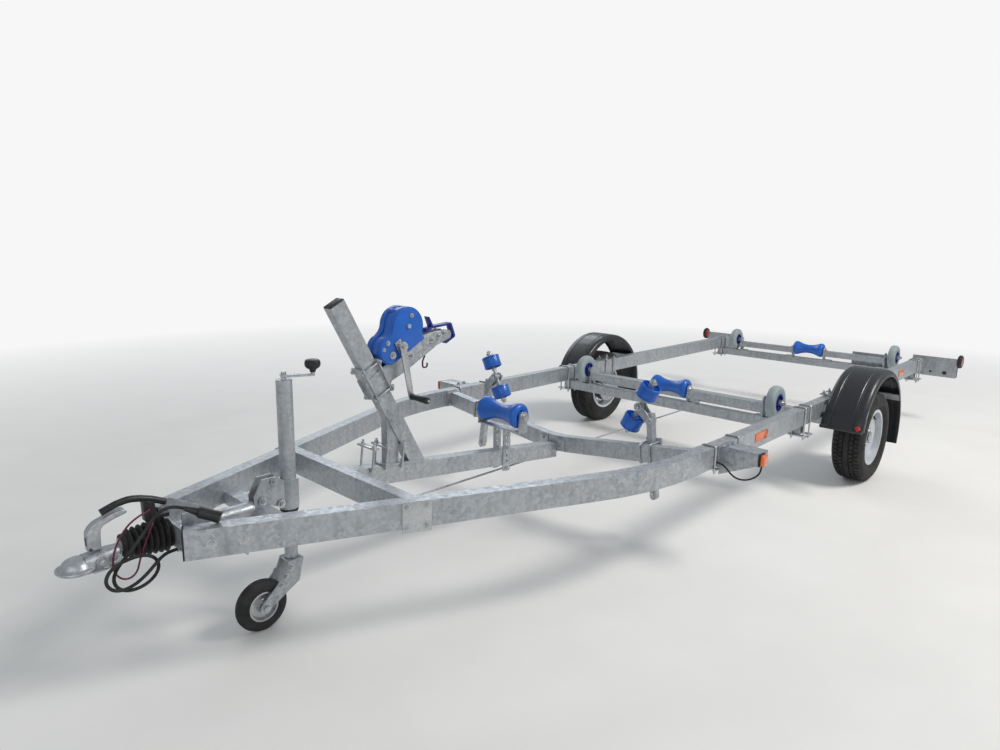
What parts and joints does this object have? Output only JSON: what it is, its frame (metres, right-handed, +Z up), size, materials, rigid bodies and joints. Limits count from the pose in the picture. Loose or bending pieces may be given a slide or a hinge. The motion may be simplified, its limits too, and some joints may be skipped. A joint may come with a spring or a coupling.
{
  "type": "boat trailer",
  "caption": "Single-axle braked boat trailer with bent drawbar rails, keel and side rollers, bow roller pairs, winch stand, jockey wheel, mudguards and lamp boards.",
  "frame": {"origin": "on the floor, halfway along and halfway across the trailer", "axes": "+X along the trailer towards the coupling, +Y to its left side, +Z up"},
  "size_m": [6.375, 2.338, 1.2442],
  "materials": {
    "zinc": "hot-dip galvanized, matt grey with a faint spangle",
    "silver": "silver wheel paint, satin",
    "iron": "dull cast",
    "tyre": "matt black",
    "black_rubber": "matt black",
    "grey_rubber": "mid grey ring on a dark blue hub, satin",
    "blue_plastic": "saturated blue, satin",
    "black_plastic": "black, grained",
    "red_cable": "dark red plastic coat",
    "lamp_red": "red and amber lenses"
  },
  "bodies": {
    "chassis": {"rails": "zinc", "end_caps": "black_plastic", "crossbars": "zinc", "keel_beam": "zinc", "vee_crossbar": "zinc", "cradles": "zinc", "keel_stand": "zinc", "bow_posts": "zinc", "winch_stand": "zinc", "winch_arm": "zinc", "bow_stop": "blue_plastic", "winch_cover": "blue_plastic", "coupling_head": "zinc", "coupling_handle": "zinc", "overrun_housing": "zinc", "overrun_shaft": "zinc", "gaiter": "black_rubber", "handbrake": "black_plastic", "brake_rod": "zinc", "jockey_clamp": "zinc", "jockey_sleeve": "zinc", "axle_tube": "zinc", "axle_arms": "zinc", "mudguards": "black_plastic", "mudguard_stays": "zinc", "outriggers": "zinc", "lamps": "lamp_red", "lamp_boards": "zinc", "number_plate": "zinc", "clamps": "zinc", "lamp_cable": "black_rubber", "breakaway_cable": "red_cable", "marker_lead": "black_rubber", "lamp_plug": "black_plastic"},
    "wheel_left": {"hub_left": "iron", "rim_left": "silver", "tyre_left": "tyre"},
    "wheel_right": {"hub_right": "iron", "rim_right": "silver", "tyre_right": "tyre"},
    "jockey_leg": {"jockey_leg": "zinc"},
    "jockey_fork": {"jockey_fork": "zinc"},
    "jockey_wheel": {"jockey_rim": "zinc", "jockey_tyre": "tyre"},
    "jockey_crank": {"jockey_crank": "zinc"},
    "winch_crank": {"winch_crank": "zinc"},
    "keel_roller_front": {"keel_roller_front": "blue_plastic"},
    "keel_roller_mid": {"keel_roller_mid": "blue_plastic"},
    "keel_roller_rear": {"keel_roller_rear": "blue_plastic"},
    "side_roller_mid_left": {"side_roller_mid_left": "grey_rubber"},
    "side_roller_mid_right": {"side_roller_mid_right": "grey_rubber"},
    "side_roller_rear_left": {"side_roller_rear_left": "grey_rubber"},
    "side_roller_rear_right": {"side_roller_rear_right": "grey_rubber"},
    "rocking_arm_left": {"rocking_arm_left": "zinc"},
    "bow_roller_upper_left": {"bow_roller_upper_left": "blue_plastic"},
    "bow_roller_lower_left": {"bow_roller_lower_left": "blue_plastic"},
    "rocking_arm_right": {"rocking_arm_right": "zinc"},
    "bow_roller_upper_right": {"bow_roller_upper_right": "blue_plastic"},
    "bow_roller_lower_right": {"bow_roller_lower_right": "blue_plastic"}
  },
  "joints": [
    {"name": "wheel_left_spin", "type": "hinge", "parent": "chassis", "child": "wheel_left", "pos_m": [-1.0375, 1.03, 0.2875], "axis": [0, 1, 0], "continuous": true},
    {"name": "wheel_right_spin", "type": "hinge", "parent": "chassis", "child": "wheel_right", "pos_m": [-1.0375, -1.03, 0.2875], "axis": [0, 1, 0], "continuous": true},
    {"name": "jockey_crank_turn", "type": "hinge", "parent": "chassis", "child": "jockey_crank", "pos_m": [2.4045, 0, 0.95], "axis": [0, 0, 1], "range_deg": [-6750, 1800]},
    {"name": "jockey_lift", "type": "slide", "parent": "chassis", "child": "jockey_leg", "axis": [0, 0, 1], "range_m": [-0.15, 0.04]},
    {"name": "jockey_swivel", "type": "hinge", "parent": "jockey_leg", "child": "jockey_fork", "pos_m": [2.4045, 0, 0.25], "axis": [0, 0, 1], "continuous": true},
    {"name": "jockey_wheel_spin", "type": "hinge", "parent": "jockey_fork", "child": "jockey_wheel", "pos_m": [2.5375, 0, 0.1], "axis": [0, 1, 0], "continuous": true},
    {"name": "winch_crank_turn", "type": "hinge", "parent": "chassis", "child": "winch_crank", "pos_m": [1.89974, 0.06, 1.03704], "axis": [0, 1, 0], "continuous": true},
    {"name": "keel_roller_front_spin", "type": "hinge", "parent": "chassis", "child": "keel_roller_front", "pos_m": [1.2245, 0, 0.632], "axis": [0, 1, 0], "continuous": true},
    {"name": "keel_roller_mid_spin", "type": "hinge", "parent": "chassis", "child": "keel_roller_mid", "pos_m": [-0.4175, 0, 0.53], "axis": [0, 1, 0], "continuous": true},
    {"name": "keel_roller_rear_spin", "type": "hinge", "parent": "chassis", "child": "keel_roller_rear", "pos_m": [-2.8975, 0, 0.53], "axis": [0, 1, 0], "continuous": true},
    {"name": "side_roller_mid_left_spin", "type": "hinge", "parent": "chassis", "child": "side_roller_mid_left", "pos_m": [-0.4175, 0.707, 0.545], "axis": [0, 1, 0], "continuous": true},
    {"name": "side_roller_mid_right_spin", "type": "hinge", "parent": "chassis", "child": "side_roller_mid_right", "pos_m": [-0.4175, -0.707, 0.545], "axis": [0, 1, 0], "continuous": true},
    {"name": "side_roller_rear_left_spin", "type": "hinge", "parent": "chassis", "child": "side_roller_rear_left", "pos_m": [-2.8975, 0.707, 0.545], "axis": [0, 1, 0], "continuous": true},
    {"name": "side_roller_rear_right_spin", "type": "hinge", "parent": "chassis", "child": "side_roller_rear_right", "pos_m": [-2.8975, -0.707, 0.545], "axis": [0, 1, 0], "continuous": true},
    {"name": "rocking_arm_left_tilt", "type": "hinge", "parent": "chassis", "child": "rocking_arm_left", "pos_m": [0.752, 0.5, 0.672], "axis": [1, 0, 0], "range_deg": [-10, 10]},
    {"name": "bow_roller_upper_left_spin", "type": "hinge", "parent": "rocking_arm_left", "child": "bow_roller_upper_left", "pos_m": [0.752, 0.54143, 0.75582], "axis": [0, 0.4431, 0.8965], "continuous": true},
    {"name": "bow_roller_lower_left_spin", "type": "hinge", "parent": "rocking_arm_left", "child": "bow_roller_lower_left", "pos_m": [0.752, 0.45857, 0.58818], "axis": [0, 0.4431, 0.8965], "continuous": true},
    {"name": "rocking_arm_right_tilt", "type": "hinge", "parent": "chassis", "child": "rocking_arm_right", "pos_m": [0.752, -0.5, 0.672], "axis": [1, 0, 0], "range_deg": [-10, 10]},
    {"name": "bow_roller_upper_right_spin", "type": "hinge", "parent": "rocking_arm_right", "child": "bow_roller_upper_right", "pos_m": [0.752, -0.54143, 0.75582], "axis": [0, -0.4431, 0.8965], "continuous": true},
    {"name": "bow_roller_lower_right_spin", "type": "hinge", "parent": "rocking_arm_right", "child": "bow_roller_lower_right", "pos_m": [0.752, -0.45857, 0.58818], "axis": [0, -0.4431, 0.8965], "continuous": true}
  ],
  "couplings": [
    {"joint": "jockey_lift", "follows": "jockey_crank_turn", "m_per_rad": 0.0012732}
  ]
}
